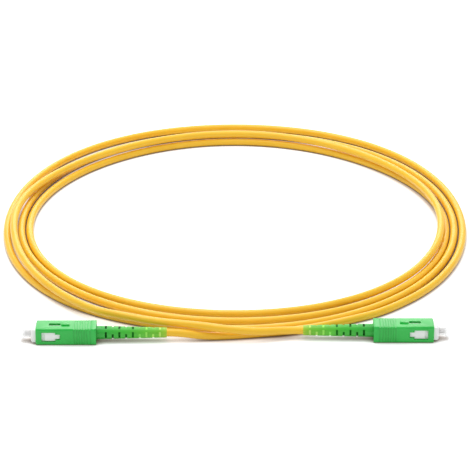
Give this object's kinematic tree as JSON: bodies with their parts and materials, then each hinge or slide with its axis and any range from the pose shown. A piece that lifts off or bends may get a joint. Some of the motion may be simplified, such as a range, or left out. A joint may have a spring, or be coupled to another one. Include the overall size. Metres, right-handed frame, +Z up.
{
  "type": "fiber optic patch cord",
  "caption": "Yellow optical fibre cord in a loose coil, with a green push-pull plug, slotted strain-relief boot and clear dust cap at each end.",
  "frame": {"origin": "on the table, midway between the two plugs, below the line that joins them", "axes": "+X along the plugs' axes to the right-hand plug, +Y from the plugs towards the coil's far side, +Z up from the table"},
  "size_m": [0.2092, 0.2297, 0.0079],
  "materials": {
    "green_housing": "moulded, slightly translucent",
    "green_boot": "soft satin",
    "white_frame": "moulded",
    "ceramic": "polished ceramic",
    "nickel_brass": "turned",
    "spring_steel": "drawn wire",
    "crimp_aluminium": "pressed",
    "buffer": "extruded",
    "yellow_jacket": "satin extruded jacket",
    "clear_cap": "clear, frosted"
  },
  "bodies": {
    "cord": {"left_plug_frame": "white_frame", "left_stop_ring": "nickel_brass", "left_crimp_sleeve": "crimp_aluminium", "left_buffered_fibre": "buffer", "left_spring": "spring_steel", "left_cable_entry": "yellow_jacket", "left_boot": "green_boot", "right_plug_frame": "white_frame", "right_stop_ring": "nickel_brass", "right_crimp_sleeve": "crimp_aluminium", "right_buffered_fibre": "buffer", "right_spring": "spring_steel", "right_cable_entry": "yellow_jacket", "right_boot": "green_boot", "left_tail": "yellow_jacket", "cable_coil": "yellow_jacket", "right_tail": "yellow_jacket"},
    "left_grip": {"left_outer_housing": "green_housing"},
    "left_ferrule_set": {"left_ferrule": "ceramic", "left_ferrule_flange": "nickel_brass"},
    "left_cap": {"left_dust_cap": "clear_cap"},
    "right_grip": {"right_outer_housing": "green_housing"},
    "right_ferrule_set": {"right_ferrule": "ceramic", "right_ferrule_flange": "nickel_brass"},
    "right_cap": {"right_dust_cap": "clear_cap"}
  },
  "joints": [
    {"name": "left_housing_pull", "type": "slide", "parent": "cord", "child": "left_grip", "axis": [1, 0, 0], "range_m": [0, 0.0012]},
    {"name": "left_ferrule_float", "type": "slide", "parent": "cord", "child": "left_ferrule_set", "axis": [1, 0, 0], "range_m": [0, 0.001], "stiffness_N_per_m": 1100, "springref_m": -0.0064, "deforming": ["left_spring", "left_buffered_fibre"]},
    {"name": "left_cap_pull", "type": "slide", "parent": "left_ferrule_set", "child": "left_cap", "axis": [-1, 0, 0], "range_m": [0, 0.008]},
    {"name": "right_housing_pull", "type": "slide", "parent": "cord", "child": "right_grip", "axis": [-1, 0, 0], "range_m": [0, 0.0012]},
    {"name": "right_ferrule_float", "type": "slide", "parent": "cord", "child": "right_ferrule_set", "axis": [-1, 0, 0], "range_m": [0, 0.001], "stiffness_N_per_m": 1100, "springref_m": -0.0064, "deforming": ["right_spring", "right_buffered_fibre"]},
    {"name": "right_cap_pull", "type": "slide", "parent": "right_ferrule_set", "child": "right_cap", "axis": [1, 0, 0], "range_m": [0, 0.008]}
  ]
}
